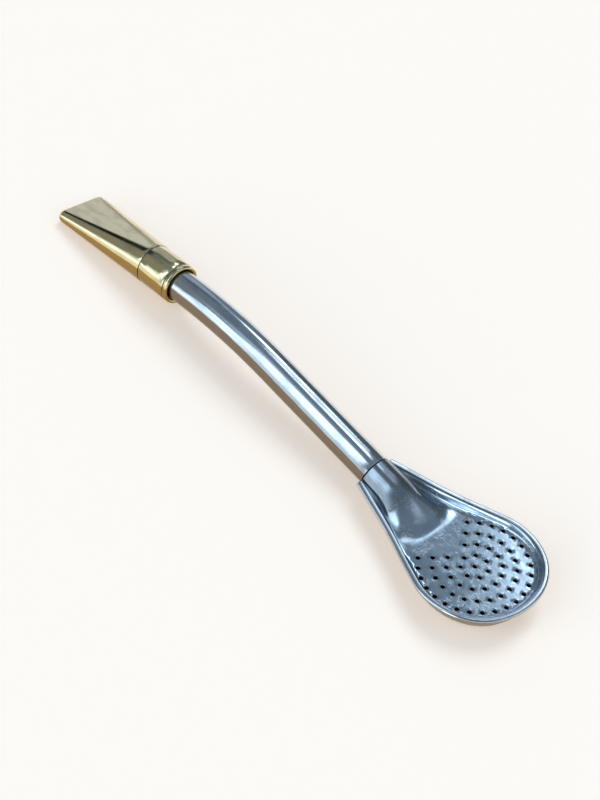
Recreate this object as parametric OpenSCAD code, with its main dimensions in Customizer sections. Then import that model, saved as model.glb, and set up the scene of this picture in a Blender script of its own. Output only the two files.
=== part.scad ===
// Bombilla: a metal straw for drinking mate, with a brass mouthpiece and a spoon strainer.
// X runs along the straw, from the mouthpiece at -X to the spoon at +X.
// Z = 0 is the table: the straw lies on the spoon's flat back and on the mouthpiece's lower edge.

/* [Stem tube] */
// Outside diameter of the stem tube
tube_od = 8; // [7:0.1:9]
// Wall of the stem tube
tube_wall = 0.6; // [0.5:0.05:1]
// Straight length between the spoon's neck and the bend
lower_run = 35.9; // [25:0.1:60]
// Radius of the bend, at the tube's centre line
bend_radius = 125; // [60:1:250]
// Angle of the bend
bend_angle = 13.5; // [8:0.5:25]
// Straight length between the bend and the ferrule's lip
upper_run = 3.8; // [1:0.1:15]
// Reduction of the tube's radius where it enters the spoon's neck
spigot_step = 0.4; // [0.2:0.05:0.45]
// Film of solder between the tube and each piece round it
solder_gap = 0.1; // [0.05:0.01:0.2]

/* [Ferrule] */
// Outside diameter of the ferrule and of the mouthpiece's base
ferrule_od = 10.4; // [9.8:0.1:13]
// Length of the ferrule, with its lip
ferrule_len = 10.4; // [6:0.1:25]
// Length of the rounded lip at the ferrule's open end
lip_len = 1.2; // [0.8:0.1:2]
// Depth of the groove behind the lip
groove_depth = 0.15; // [0.05:0.05:0.3]
// Width of the groove behind the lip
groove_w = 0.4; // [0.2:0.1:0.8]
// Chamfer on both edges of the seam between ferrule and mouthpiece
seam_chamfer = 0.15; // [0.05:0.05:0.3]

/* [Mouthpiece] */
// Length of the mouthpiece's longer side, from the seam to its flattened end
mouth_len = 29.8; // [20:0.2:45]
// Width of the flattened end
tip_w = 13; // [11:0.1:18]
// Thickness of the flattened end
tip_t = 3.5; // [2.8:0.1:5]
// Wall of the mouthpiece at its flattened end
tip_wall = 0.8; // [0.5:0.05:1]
// Rounding of the end's corners, seen from above
tip_corner = 1.1; // [0.5:0.1:2]
// Rounding of the end's edge, seen from the side
tip_edge = 0.4; // [0.2:0.05:0.7]
// Slant of the end's edge, seen from above
tip_slant = 9; // [0:0.5:12]
// Depth of the socket that takes the stem tube
socket_depth = 5; // [3:0.2:10]

/* [Spoon] */
// Outer radius of the spoon's round end
spoon_r = 15.9; // [14:0.1:20]
// Extra radius half way between the spoon's end and its sides
end_fullness = 0.25; // [0:0.05:0.8]
// Hollow of each flank, half way between the neck and the round end
flank_hollow = 0.45; // [0:0.05:0.8]
// Distance from the middle of the round end to the neck's edge
neck_len = 33.1; // [30:0.1:38]
// Width of the hem's ears beside the neck
ear_w = 1.65; // [1.6:0.05:2.5]
// Length of tube held inside the neck
neck_grip = 7.5; // [4:0.1:9]
// Height of the shell's underside at the neck's edge, above the table
neck_lift = 1.45; // [0.9:0.05:1.8]
// Sheet thickness of the strainer plate and of the back shell
sheet = 0.35; // [0.3:0.05:0.5]
// Height of the rim's top above the table, at the middle of the round end
rim_h = 6.9; // [6.4:0.1:8.5]
// Slope of the rim and of the strainer field, which rise towards the spoon's end
rim_rise = 5; // [3:0.1:5.4]
// Distance from the middle of the round end back to where the rim turns level
rim_level = 10.5; // [6:0.5:14]
// Length over which the rim turns level
rim_turn = 6; // [2:0.5:10]
// Width of the folded hem, seen from above
hem_w = 1.2; // [1.1:0.05:1.5]
// Play between the layers of the folded hem
hem_gap = 0.05; // [0.02:0.01:0.1]
// Width of the shell's flange under the strainer plate
shell_flange_w = 1; // [0.8:0.05:1.1]
// Width of the curved side between the back's flat and its rim
back_round = 6; // [4:0.2:7]

/* [Strainer field] */
// Depth of the middle hole below the rim's top
field_depth = 1.9; // [1.6:0.05:2.4]
// Crown of the field: its middle stands this much above its edge
field_crown = 0.15; // [0:0.05:0.4]
// Width of the fillet between the field and the rim
fillet_w = 1.2; // [0.8:0.1:1.6]
// Distance from the neck's edge to where the ramp leaves the tube
ramp_top = 5.2; // [2:0.1:6]
// Distance from the middle of the round end to the foot of the ramp
ramp_foot = 12.6; // [11:0.2:16]
// Width of the ramp, where the neck leaves room for it
ramp_w = 15.6; // [11:0.2:17]
// Most that the ramp's ridge narrows: a higher power gives a narrower ridge
ramp_power = 2.5; // [1.5:0.1:3]
// How late the ramp drops: 1 for an even drop, more for a straighter top and a tighter foot
ramp_delay = 1.25; // [1:0.05:2]
// Diameter of a strainer hole
hole_d = 1.2; // [0.8:0.1:1.8]
// Spacing between the rings of holes
ring_pitch = 3.2; // [2.6:0.1:3.2]
// Distance of the middle hole behind the middle of the round end
pattern_back = 0.45; // [0:0.05:1]

/* [Hidden] */
$fn = 64;
bend_fn = 180;
hole_fn = 24;
eps = 0.02;

brass_colour = [0.80, 0.69, 0.40];
steel_colour = [0.66, 0.70, 0.74];
solder_colour = [0.58, 0.57, 0.53];

tube_r = tube_od/2;
bore_r = tube_r - tube_wall;
seat_r = tube_r + solder_gap;
spigot_r = tube_r - spigot_step;
neck_seat_r = spigot_r + solder_gap;
neck_r = neck_seat_r + sheet;
neck_h = neck_lift + neck_r;
neck_half_w = neck_r + ear_w;
ferrule_r = ferrule_od/2;

// From the bend to the ferrule's seam and to the mouthpiece's end, along the upper axis
seam_z = upper_run + ferrule_len;
upper_len = seam_z + mouth_len - tip_corner*tan(tip_slant);

// The mouthpiece's lower edge, along the lower run from the neck and square to it
edge_p = lower_run + bend_radius*sin(bend_angle) + upper_len*cos(bend_angle) - tip_t/2*sin(bend_angle);
edge_q = -bend_radius*(1 - cos(bend_angle)) - upper_len*sin(bend_angle) - tip_t/2*cos(bend_angle);

// The lower run's slope, at which that edge touches the table
tube_drop = asin(-neck_h/norm([edge_p, edge_q])) - atan2(edge_q, edge_p);

// The spoon's place, with the whole straw centred on the origin
edge_reach = edge_p*cos(tube_drop) - edge_q*sin(tube_drop) + tip_t*sin(bend_angle - tube_drop);
spoon_x = (neck_len + edge_reach - spoon_r)/2;

// The strainer holes: rings of 7, 14, 21 and 28 places, of which these many are pierced
ring_holes = [7, 13, 18, 23];
places_per_ring = 7;

// Angle of the spoon's straight flanks, from the neck's edge on to the round end
neck_slant = norm([neck_len, neck_half_w]);
spoon_taper = atan2(neck_len, neck_half_w) - acos(spoon_r/neck_slant);
tangent_x = -spoon_r*sin(spoon_taper);

// Steps of the spoon's sheets along a flank and round half of the end
flank_steps = 14;
arc_steps = 12;
half_steps = flank_steps + arc_steps;
turn_step = 15;
hem_step = 45;
fillet_steps = 4;

// The sheets run on past the neck's edge and thicken inside it, and are then cut back to the tube
neck_over = 0.8;
neck_spare = 0.2;
neck_fade = 3;
// The sheets stay thick until this far past the tube's end
grip_spare = 1;
// Length over which the shell's side leaves the neck's round
side_fade = 8;
// The tube's shoulder stands this far off the neck's edge
shoulder_gap = 0.15;
// The strainer plate's ledge shows this far past the folded lip
ledge_show = 0.05;
// Least width of a strip of the strainer plate
least_strip = 0.03;
// Shares of the room between hem and ramp that the fillet and the tray may take
fillet_share = 0.6;
tray_share = 0.05;
// Share of the half width that the back's curved side may take
side_share = 0.92;
// Length of the cutters for the strainer's holes and for the neck's edge
hole_cut = 4;
neck_cut = 40;

hem_h = 3*sheet + 2*hem_gap;
hem_r = hem_h/2;
ledge_w = hem_w + ledge_show;
pattern_at = [-pattern_back, 0];
// The spine, on which all the sections of the round end meet, stops half way to the spoon's end
spine_end = spoon_r/2;

function mix(a, b, t) = a + (b - a)*t;
function clamp(t) = max(0, min(1, t));
function smooth(t) = let (c = clamp(t)) c*c*(3 - 2*c);

// Plan of the spoon, from its middle: points on the rim and, across from them, on the spine
function hollow(x) = flank_hollow*pow(sin(180*clamp((tangent_x - x)/(tangent_x + neck_len))), 2);
function flank(x) = (spoon_r + sin(spoon_taper)*x)/cos(spoon_taper) - hollow(x);
function arc_angle(i) = (90 + spoon_taper)*(1 - (i - flank_steps)/arc_steps);
function end_r(a) = spoon_r + (a < 90 ? end_fullness*pow(sin(2*a), 2) : 0);
function flank_x(i) = mix(-neck_len - neck_over, tangent_x, i/flank_steps);
function rim_point(i) = i <= flank_steps
    ? [flank_x(i), flank(flank_x(i))]
    : end_r(arc_angle(i))*[cos(arc_angle(i)), sin(arc_angle(i))];
function rim_inward(i) = i <= flank_steps
    ? [sin(spoon_taper), -cos(spoon_taper)]
    : -[cos(arc_angle(i)), sin(arc_angle(i))];
function spine_x(i) = i <= flank_steps
    ? flank_x(i)
    : mix(tangent_x, spine_end, (rim_point(i).x - tangent_x)/(spoon_r - tangent_x));
function across(i) = [spine_x(i), 0] - rim_point(i);
function reach(i) = norm(across(i));
function plan(i, s) = rim_point(i) + across(i)/reach(i)*s;
// Distance along a section for a width measured square to the rim
function square_to_rim(i, w) = w*reach(i)/(across(i)*rim_inward(i));

// Heights in the spoon at a point of its plan: the rim, the plate's flange in the hem and the tube's axis
function past_level(x) = (x + rim_level + norm([x + rim_level, rim_turn]))/2;
function rim_z(p) = rim_h + (past_level(p.x) - past_level(0))*tan(rim_rise);
function flange_z(p) = rim_z(p) - sheet - hem_gap;
function axis_z(p) = neck_h - (p.x + neck_len)*tan(tube_drop);
// The field, the tray beside the ramp and the ramp's crest
function crown_z(p) = field_crown*pow(min(1, norm(p - pattern_at)/spoon_r), 2);
function field_z(p) = rim_z(pattern_at) - field_depth + (p.x + pattern_back)*tan(rim_rise) - crown_z(p);
function from_foot(p) = (-ramp_foot - p.x)/(neck_len - ramp_foot);
function tray_z(p) = mix(field_z(p), flange_z(p), smooth(from_foot(p)));
ramp_run = neck_len - ramp_top - ramp_foot;
function down_ramp(p) = clamp((p.x + neck_len - ramp_top)/ramp_run);
function crest_z(p) = mix(axis_z(p) + neck_r, tray_z(p), smooth(pow(down_ramp(p), ramp_delay)));
function keel_z(p) = max(0, axis_z(p) - neck_r);

// Strainer plate: a section from the flange in the hem, over the ledge and the fillet, to the spine
function ledge_s(i) = square_to_rim(i, ledge_w);
function room(i) = reach(i) - ledge_s(i) - neck_r;
function fillet_s(i) = max(least_strip, min(square_to_rim(i, fillet_w), fillet_share*room(i)));
function tray_s(i) = ledge_s(i) + fillet_s(i) + max(least_strip, tray_share*room(i));
function ramp_s(i) = max(tray_s(i), reach(i) - ramp_w/2);
// The ridge keeps the tube's own roundness as far as its power allows
function ramp_rise(i) = let (p = [spine_x(i), 0]) max(least_strip, crest_z(p) - tray_z(p));
function ridge_power(i) = max(1, min(ramp_power, pow(reach(i) - ramp_s(i), 2)/(ramp_rise(i)*neck_r)));
function plate_section(i) = concat(
    [for (s = [square_to_rim(i, hem_r), ledge_s(i)]) [s, flange_z(plan(i, s))]],
    [for (k = [1:fillet_steps])
        let (t = k/fillet_steps, s = ledge_s(i) + fillet_s(i)*t, p = plan(i, s))
        [s, mix(flange_z(p), tray_z(p), smooth(t))]],
    [for (a = [0:turn_step:90])
        let (s = mix(reach(i), ramp_s(i), cos(a)), p = plan(i, s))
        [s, tray_z(p) + (crest_z(p) - tray_z(p))*pow(sin(a), ridge_power(i))]]);
plate_flange_points = 2;

// Back shell: a section from the folded lip, round the hem, down the side and along the flat
function side_s(i) = mix(reach(i) - neck_r, square_to_rim(i, shell_flange_w),
    smooth((plan(i, 0).x + neck_len)/side_fade));
function side_w(i) = min(back_round, side_share*(reach(i) - side_s(i)));
function shell_section(i) = concat(
    [let (s = square_to_rim(i, hem_w)) [s, rim_z(plan(i, s))]],
    [for (a = [90:hem_step:270]) let (s = square_to_rim(i, hem_r + hem_r*cos(a)))
        [s, rim_z(plan(i, s)) - hem_r + hem_r*sin(a)]],
    [for (a = [0:turn_step:90]) let (s = side_s(i) + side_w(i)*(1 - cos(a)), p = plan(i, s))
        [s, mix(rim_z(p) - hem_h, keel_z(p), sin(a))]],
    [[reach(i), keel_z([spine_x(i), 0])]]);
shell_flange_points = 6;

// A section's other face, one sheet away along the section's own normals
function along(p, k) = k == len(p) - 1 ? [1, 0]
    : k == 0 ? p[1] - p[0]
    : (p[k] - p[k - 1])/norm(p[k] - p[k - 1]) + (p[k + 1] - p[k])/norm(p[k + 1] - p[k]);
function beside(p, k, t) = let (d = along(p, k)/norm(along(p, k))) p[k] + t*[d.y, -d.x];
grip_end = -neck_len + neck_grip + grip_spare;
function spare(i) = neck_spare*(1 - smooth((plan(i, 0).x - grip_end)/neck_fade + 0.5));
function other_face(p, i, flange_points, side) = [for (k = [0:len(p) - 1])
    beside(p, k, side*(sheet + (k < flange_points ? 0 : spare(i))))];

// Points of a whole sheet: sections down one flank, round the end and back up the other flank
function mirrored(i) = min(i, 2*half_steps - i);
function side_of(i) = i <= half_steps ? 1 : -1;
function spread(sections) = [for (i = [0:2*half_steps])
    let (h = mirrored(i))
    for (p = sections[h])
        let (at = plan(h, p[0]))
        [at.x, side_of(i)*at.y, p[1]]];

// A closed sheet between an upper and a lower list of sections
module sheet_solid(upper, lower) {
    m = len(upper[0]);
    rows = 2*half_steps;
    low = (rows + 1)*m;
    function at(i, j) = (j == m - 1 ? mirrored(i) : i)*m + j;
    function quad(a, b, c, d) = [[a, b, c], [a, c, d]];
    faces = concat(
        [for (i = [0:rows - 1], j = [0:m - 2])
            for (f = quad(at(i, j), at(i + 1, j), at(i + 1, j + 1), at(i, j + 1))) f],
        [for (i = [0:rows - 1], j = [0:m - 2])
            for (f = quad(at(i, j + 1), at(i + 1, j + 1), at(i + 1, j), at(i, j)))
                [for (v = f) low + v]],
        [for (i = [0:rows - 1])
            for (f = quad(at(i, 0), low + at(i, 0), low + at(i + 1, 0), at(i + 1, 0))) f],
        [for (j = [0:m - 2])
            for (f = quad(at(0, j), at(0, j + 1), low + at(0, j + 1), low + at(0, j))) f],
        [for (j = [0:m - 2])
            for (f = quad(at(rows, j + 1), at(rows, j), low + at(rows, j), low + at(rows, j + 1))) f]);
    whole = [for (f = faces) if (f[0] != f[1] && f[1] != f[2] && f[2] != f[0]) f];
    polyhedron(points = concat(spread(upper), spread(lower)), faces = whole, convexity = 8);
}

// Places: the spoon's middle, the lower run from the neck, and the upper axis past the bend
module in_spoon() {
    translate([spoon_x, 0, 0]) children();
}
module on_lower_run() {
    translate([spoon_x - neck_len, 0, neck_h]) rotate([0, tube_drop - 90, 0]) children();
}
// The bend's own plane, turned about the bend's centre to the middle of its angle
module in_bend() {
    on_lower_run()
        translate([-bend_radius, 0, lower_run]) rotate([90, 0, 0]) rotate(bend_angle/2) children();
}
module on_upper_axis() {
    on_lower_run()
        translate([-bend_radius, 0, lower_run])
            rotate([0, -bend_angle, 0])
                translate([bend_radius, 0, 0])
                    children();
}

// The tube's ring, which is pushed along the straight runs and swept round the bend
module tube_ring(step = 0) {
    difference() {
        circle(tube_r - step);
        circle(bore_r - step);
    }
}

module stem_tube() {
    half_bend = bend_angle/2;
    shoulder_at = lower_run - shoulder_gap;
    color(steel_colour)
        in_bend() {
            rotate(-half_bend) translate([bend_radius, 0, 0])
                rotate([90, 0, 0]) linear_extrude(shoulder_at) tube_ring();
            rotate(-half_bend) translate([bend_radius, -shoulder_at, 0])
                rotate([90, 0, 0]) linear_extrude(neck_grip + shoulder_gap) tube_ring(spigot_step);
            rotate(-half_bend)
                rotate_extrude(angle = bend_angle, $fn = bend_fn) translate([bend_radius, 0]) tube_ring();
            rotate(half_bend) translate([bend_radius, 0, 0])
                rotate([-90, 0, 0]) linear_extrude(seam_z + socket_depth) tube_ring();
        }
}

// The mouthpiece's sections lean more and more towards its end, until they follow the end's slant
function tip_share(z) = z/mouth_len;
function slanted(z, wide) = z - tip_share(z)*tan(tip_slant)*(tip_w/2 + wide);

// A closed loft through flat-sided rounds, each a height, a half thickness and a half width
module flat_round_loft(rounds, sides = 16) {
    ring = 2*(sides + 1);
    points = [for (r = rounds)
        for (k = [0:ring - 1])
            let (right = k <= sides, a = right ? -90 + 180*k/sides : -90 + 180*(k - 1)/sides)
            let (wide = r[1]*cos(a) + (right ? 1 : -1)*(r[2] - r[1]))
            [r[1]*sin(a), wide, slanted(r[0], wide)]];
    side_faces = [for (n = [0:len(rounds) - 2], k = [0:ring - 1])
        let (a = n*ring + k, b = n*ring + (k + 1)%ring)
        for (f = [[a, b + ring, a + ring], [a, b, b + ring]]) f];
    top = (len(rounds) - 1)*ring;
    end_faces = [for (k = [1:ring - 2]) for (f = [[0, k + 1, k], [top, top + k, top + k + 1]]) f];
    polyhedron(points = points, faces = concat(side_faces, end_faces), convexity = 4);
}

// The flat of the mouthpiece starts at the seam with almost no width
flat_start = 0.06;
tip_steps = 4;
function outer_half_t(z) = mix(ferrule_r, tip_t/2, tip_share(z));
function outer_half_w(z) = mix(ferrule_r + flat_start, tip_w/2, tip_share(z));
function rounded_off(r, a) = r*(1 - cos(a));
function tip_round(a) = let (z = mouth_len - tip_corner*(1 - sin(a)))
    [z, outer_half_t(z) - rounded_off(tip_edge, a), outer_half_w(z) - rounded_off(tip_corner, a)];

module mouthpiece() {
    slot_t = tip_t/2 - tip_wall;
    slot_w = tip_w/2 - tip_wall;
    slot_share = 1 + eps;
    color(brass_colour)
        on_upper_axis()
            translate([0, 0, seam_z])
                difference() {
                    flat_round_loft(concat(
                        [[0, ferrule_r - seam_chamfer, ferrule_r - seam_chamfer + flat_start],
                         [seam_chamfer, outer_half_t(seam_chamfer), outer_half_w(seam_chamfer)]],
                        [for (k = [0:tip_steps]) tip_round(90*k/tip_steps)]));
                    flat_round_loft([
                        [socket_depth - eps, bore_r, bore_r + flat_start],
                        [mix(socket_depth, mouth_len, slot_share),
                         mix(bore_r, slot_t, slot_share),
                         mix(bore_r + flat_start, slot_w, slot_share)]]);
                    translate([0, 0, -eps]) cylinder(r = seat_r, h = socket_depth + eps);
                }
}

// The ferrule's half section, with its rounded lip at z = 0 and a chamfer at the seam
module ferrule_section() {
    wall = ferrule_r - seat_r;
    translate([seat_r, 0])
        difference() {
            union() {
                translate([0, wall/2]) square([wall, ferrule_len - wall/2]);
                translate([wall/2, wall/2]) circle(wall/2);
            }
            translate([wall - groove_depth, lip_len]) square([groove_depth + eps, groove_w]);
            translate([wall, ferrule_len]) circle(seam_chamfer);
        }
}

module ferrule() {
    color(brass_colour)
        on_upper_axis()
            translate([0, 0, upper_run])
                rotate_extrude() ferrule_section();
}

module solder_film(from, length, inner_r = tube_r) {
    color(solder_colour)
        translate([0, 0, from])
            difference() {
                cylinder(r = inner_r + solder_gap, h = length);
                translate([0, 0, -eps]) cylinder(r = inner_r, h = length + 2*eps);
            }
}

module mouthpiece_solder() {
    on_upper_axis() solder_film(seam_z, socket_depth);
}

// The ferrule's film stops short of the rounded lip
module ferrule_solder() {
    on_upper_axis() solder_film(upper_run + lip_len, ferrule_len - lip_len);
}

module neck_solder() {
    on_lower_run() solder_film(-neck_grip, neck_grip, spigot_r);
}

// What both sheets lose at the neck: the tube's seat, and all that runs past the neck's edge
module neck_room() {
    on_lower_run() {
        translate([0, 0, -neck_grip]) cylinder(r = neck_seat_r, h = neck_grip + eps);
        translate([-neck_cut/2, -neck_cut/2, 0]) cube(neck_cut);
    }
}

module strainer_holes() {
    translate([-pattern_back, 0, rim_z(pattern_at) - field_depth])
        rotate([0, -rim_rise, 0])
            for (ring = [0:len(ring_holes)])
                let (places = max(1, ring*places_per_ring), holes = ring == 0 ? 1 : ring_holes[ring - 1])
                let (first = holes == places ? holes/2 : (holes - 1)/2)
                for (k = [0:holes - 1])
                    rotate(360/places*(k - first))
                        translate([ring*ring_pitch, 0, 0])
                            cylinder(d = hole_d, h = hole_cut, center = true, $fn = hole_fn);
}

module front_strainer() {
    upper = [for (i = [0:half_steps]) plate_section(i)];
    lower = [for (i = [0:half_steps]) other_face(upper[i], i, plate_flange_points, 1)];
    color(steel_colour)
        difference() {
            in_spoon() sheet_solid(upper, lower);
            in_spoon() strainer_holes();
            neck_room();
        }
}

module back_shell() {
    lower = [for (i = [0:half_steps]) shell_section(i)];
    upper = [for (i = [0:half_steps]) other_face(lower[i], i, shell_flange_points, -1)];
    color(steel_colour)
        difference() {
            in_spoon() sheet_solid(upper, lower);
            neck_room();
        }
}

mouthpiece();
ferrule();
stem_tube();
front_strainer();
back_shell();
mouthpiece_solder();
ferrule_solder();
neck_solder();
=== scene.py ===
# %% [markdown]
# # A metal straw for mate
#
# This lesson dresses a bombilla: a brass mouthpiece and ferrule, a bent steel tube, and a
# spoon strainer of two pressed steel sheets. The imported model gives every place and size, and
# each piece here is a finer mesh of the same form, with rounded edges and a worn metal finish.

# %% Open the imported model
import math

import bmesh
import bpy
from mathutils import Matrix, Vector
from mathutils.geometry import delaunay_2d_cdt


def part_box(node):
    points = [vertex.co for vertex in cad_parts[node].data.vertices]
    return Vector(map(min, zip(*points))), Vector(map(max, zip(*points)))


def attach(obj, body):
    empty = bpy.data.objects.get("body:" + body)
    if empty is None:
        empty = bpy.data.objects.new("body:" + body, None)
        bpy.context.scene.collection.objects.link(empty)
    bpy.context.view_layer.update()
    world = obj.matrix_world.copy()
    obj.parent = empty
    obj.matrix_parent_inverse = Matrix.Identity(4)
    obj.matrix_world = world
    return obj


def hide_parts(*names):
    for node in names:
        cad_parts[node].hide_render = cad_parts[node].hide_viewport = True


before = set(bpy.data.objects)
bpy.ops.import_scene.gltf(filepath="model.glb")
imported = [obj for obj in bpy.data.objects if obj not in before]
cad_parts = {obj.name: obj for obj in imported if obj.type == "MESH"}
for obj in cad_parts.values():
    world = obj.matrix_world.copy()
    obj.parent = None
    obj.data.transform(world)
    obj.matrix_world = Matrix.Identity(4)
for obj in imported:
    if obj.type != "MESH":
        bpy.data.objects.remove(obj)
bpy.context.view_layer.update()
MM = 0.001

# %% [markdown]
# The straw was drawn in millimetres, so the lesson works in millimetres too, and turns to
# metres only when a mesh is made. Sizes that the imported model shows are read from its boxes.
# The sizes of folds, fillets and walls can't be read from a box, so they are named here.

# %% Sizes of the straw
shell_low, shell_high = (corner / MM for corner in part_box("back_shell"))
spoon_r = (shell_high.y - shell_low.y) / 2
spoon_x = shell_high.x - spoon_r

tube_r, tube_wall = 4, 0.6
lower_run = 35.9
bend_radius = 125
bend_angle = math.radians(13.5)
upper_run = 3.8
spigot_step = 0.4
solder_gap = 0.1
neck_grip = 7.5
neck_lift = 1.45
neck_len = 33.1
sheet = 0.35
ferrule_r = 5.2
ferrule_len = 10.4
mouth_len = 29.8
tip_w, tip_t, tip_corner = 13, 3.5, 1.1
tip_slant = math.radians(9)
socket_depth = 5

bore_r = tube_r - tube_wall
seat_r = tube_r + solder_gap
spigot_r = tube_r - spigot_step
neck_r = spigot_r + solder_gap + sheet
neck_h = neck_lift + neck_r
bend_len = bend_radius * bend_angle
seam_at = upper_run + ferrule_len
print(f"spoon radius {spoon_r:.2f}, spoon's middle at x = {spoon_x:.2f}")

# %% [markdown]
# Every piece is a closed skin. This small helper collects rows of corners, joins neighbouring
# rows with four-sided faces, and turns the result into an object that rides on the one body of
# the straw. A face's edge is kept sharp only where two faces meet at a clear angle, so the long
# curves shade smoothly and the cut edges stay crisp.


# %% A helper that collects a skin
class Skin:
    def __init__(self):
        self.corners, self.faces = [], []
        self.inside, self.cut = [], []

    def row(self, points):
        first = len(self.corners)
        self.corners += [tuple(p) for p in points]
        return list(range(first, len(self.corners)))

    def join(self, one, two, closed=False):
        for k in range(len(one) if closed else len(one) - 1):
            n = (k + 1) % len(one)
            face = [one[k], one[n], two[n], two[k]]
            face = [c for i, c in enumerate(face) if c not in face[:i]]
            if len(face) > 2:
                self.faces.append(face)

    def hoops(self, rows):
        """Joins closed rows one after another, and the last one to the first."""
        made = [self.row(points) for points in rows]
        for one, two in zip(made, made[1:] + made[:1]):
            self.join(one, two, closed=True)
        return made

    def faces_among(self, corners):
        """The numbers of the faces that have all their corners in this set."""
        return [k for k, face in enumerate(self.faces) if corners.issuperset(face)]

    def piece(self, name, node, sharp=40, weld=1e-8):
        mesh = bpy.data.meshes.new(name)
        mesh.from_pydata([Vector(c) * MM for c in self.corners], [], self.faces)
        for index, chosen in enumerate((self.inside, self.cut), start=1):
            for k in chosen:
                mesh.polygons[k].material_index = index
        tidy = bmesh.new()
        tidy.from_mesh(mesh)
        bmesh.ops.remove_doubles(tidy, verts=tidy.verts, dist=weld)
        loose = [v for v in tidy.verts if not v.link_faces]
        bmesh.ops.delete(tidy, geom=loose, context="VERTS")
        bmesh.ops.recalc_face_normals(tidy, faces=tidy.faces)
        open_edges = sum(not edge.is_manifold for edge in tidy.edges)
        tidy.to_mesh(mesh)
        tidy.free()
        mesh.shade_smooth()
        mesh.set_sharp_from_angle(angle=math.radians(sharp))
        made = bpy.data.objects.new(name, mesh)
        bpy.context.collection.objects.link(made)
        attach(made, "root")
        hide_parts(node)
        print(f"{name}: {len(mesh.polygons)} faces, {open_edges} open edges")
        return made


# %% [markdown]
# The tube leaves the spoon's neck straight, bends once, and runs straight into the ferrule. A
# real one is bent round a former, which fixes one radius. Here the bend is an arc on the tube's
# centre line, and the tube's slope is the one at which the mouthpiece's lower edge touches the
# table. Places along the straw are given as a distance from the neck's edge.


# %% The straw's centre line
def mix(a, b, t):
    return a + (b - a) * t


def clamp(t):
    return max(0, min(1, t))


def smooth(t):
    t = clamp(t)
    return t * t * (3 - 2 * t)


upper_len = seam_at + mouth_len - tip_corner * math.tan(tip_slant)
edge_p = (lower_run + bend_radius * math.sin(bend_angle) + upper_len * math.cos(bend_angle)
          - tip_t / 2 * math.sin(bend_angle))
edge_q = (-bend_radius * (1 - math.cos(bend_angle)) - upper_len * math.sin(bend_angle)
          - tip_t / 2 * math.cos(bend_angle))
tube_drop = math.asin(-neck_h / math.hypot(edge_p, edge_q)) - math.atan2(edge_q, edge_p)

neck_at = Vector((spoon_x - neck_len, 0, neck_h))
forward = Vector((-math.cos(tube_drop), 0, math.sin(tube_drop)))
above = Vector((math.sin(tube_drop), 0, math.cos(tube_drop)))
sideways = Vector((0, 1, 0))
upper_at = lower_run + bend_len


def straw_frame(along):
    """A point on the centre line, the way forward there, and the way up."""
    turn = clamp((along - lower_run) / bend_len) * bend_angle
    up = above * math.cos(turn) + forward * math.sin(turn)
    way = forward * math.cos(turn) - above * math.sin(turn)
    point = neck_at + forward * min(along, lower_run)
    if along > lower_run:
        point += bend_radius * (up - above) + way * max(0, along - upper_at)
    return point, way, up


def on_straw(along, high, wide):
    point, _, up = straw_frame(along)
    return point + up * high + sideways * wide


def round_hoop(along, radius, sides=96):
    turns = [math.tau * k / sides for k in range(sides)]
    return [on_straw(along, radius * math.sin(a), radius * math.cos(a)) for a in turns]


print(f"tube's slope {math.degrees(tube_drop):.2f} degrees, upper axis starts at {upper_at:.1f} mm")

# %% [markdown]
# The stem tube is drawn steel tube. Its lower end is swaged a little smaller, so that the spoon's
# sheets close round it nearly flush, and its upper end is pushed through the ferrule into the
# mouthpiece. The skin is a row of hoops: up the outside, over the end, and back down the bore. A
# bevelled curve would bend as easily, but hoops also give the swaged end and the bore.

# %% Stem tube
shoulder_round = 0.25
shoulder_at = 0.15
run_rows, bend_rows = 10, 40
outside = [(-neck_grip, spigot_r), (shoulder_at, spigot_r)]
outside += [(shoulder_at + shoulder_round * (1 - math.cos(a)),
             tube_r - spigot_step * (1 - math.sin(a)))
            for a in (math.radians(d) for d in range(30, 91, 15))]
outside += [(lower_run * k / run_rows, tube_r) for k in range(1, run_rows)]
outside += [(lower_run + bend_len * k / bend_rows, tube_r) for k in range(bend_rows + 1)]
outside += [(upper_at + upper_run, tube_r), (upper_at + seam_at + socket_depth, tube_r)]
bore = [(along, radius - tube_wall) for along, radius in reversed(outside)]
skin = Skin()
made = skin.hoops([round_hoop(along, radius) for along, radius in outside + bore])
skin.inside = skin.faces_among({c for row in made[len(outside):] for c in row})
stem_tube = skin.piece("stem_tube_drawn", "stem_tube")

# %% [markdown]
# The ferrule is a turned brass collar that hides the joint of tube and mouthpiece. A lathe
# leaves a full-round lip at its open end, a fine groove behind the lip, and a small rounded
# edge at the seam. Its outline is one closed list of distances and radii, spun round the axis. A
# Screw modifier would spin it too, but the hoops already follow the straw's slope.

# %% Ferrule
lip_r = (ferrule_r - seat_r) / 2
groove_at, groove_w, groove_depth = 1.2, 0.4, 0.15
groove_lead, groove_brink = 0.06, 0.05
groove_end = groove_at + groove_w + groove_lead
groove_rows, sleeve_rows, ferrule_sides = 8, 4, 128
edge_round = 0.15


def quarter(steps=6):
    return [math.pi / 2 * k / steps for k in range(steps + 1)]


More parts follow.
